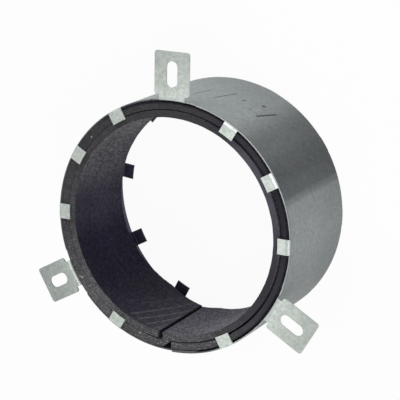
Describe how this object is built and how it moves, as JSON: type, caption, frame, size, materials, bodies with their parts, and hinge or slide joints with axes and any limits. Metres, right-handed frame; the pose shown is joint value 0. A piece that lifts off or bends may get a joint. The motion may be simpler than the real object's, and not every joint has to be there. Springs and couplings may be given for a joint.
{
  "type": "pipe fire collar",
  "caption": "Round folded steel casing with inward tabs and slotted wall lugs, lined with a wound strip that swells in a fire and closes the pipe hole.",
  "frame": {"origin": "on the casing's axis, in the plane of the lugs' outer faces, which lie on the wall", "axes": "+Z along the pipe towards the wall, +Y towards the top lug, +X to its right seen from the wall"},
  "size_m": [0.1744, 0.1657, 0.0701],
  "materials": {
    "galvanised_steel": "galvanised, lightly scratched",
    "intumescent_graphite": "matt, slightly granular"
  },
  "bodies": {
    "root": {"shell": "galvanised_steel", "intumescent_strip": "intumescent_graphite"}
  },
  "joints": []
}
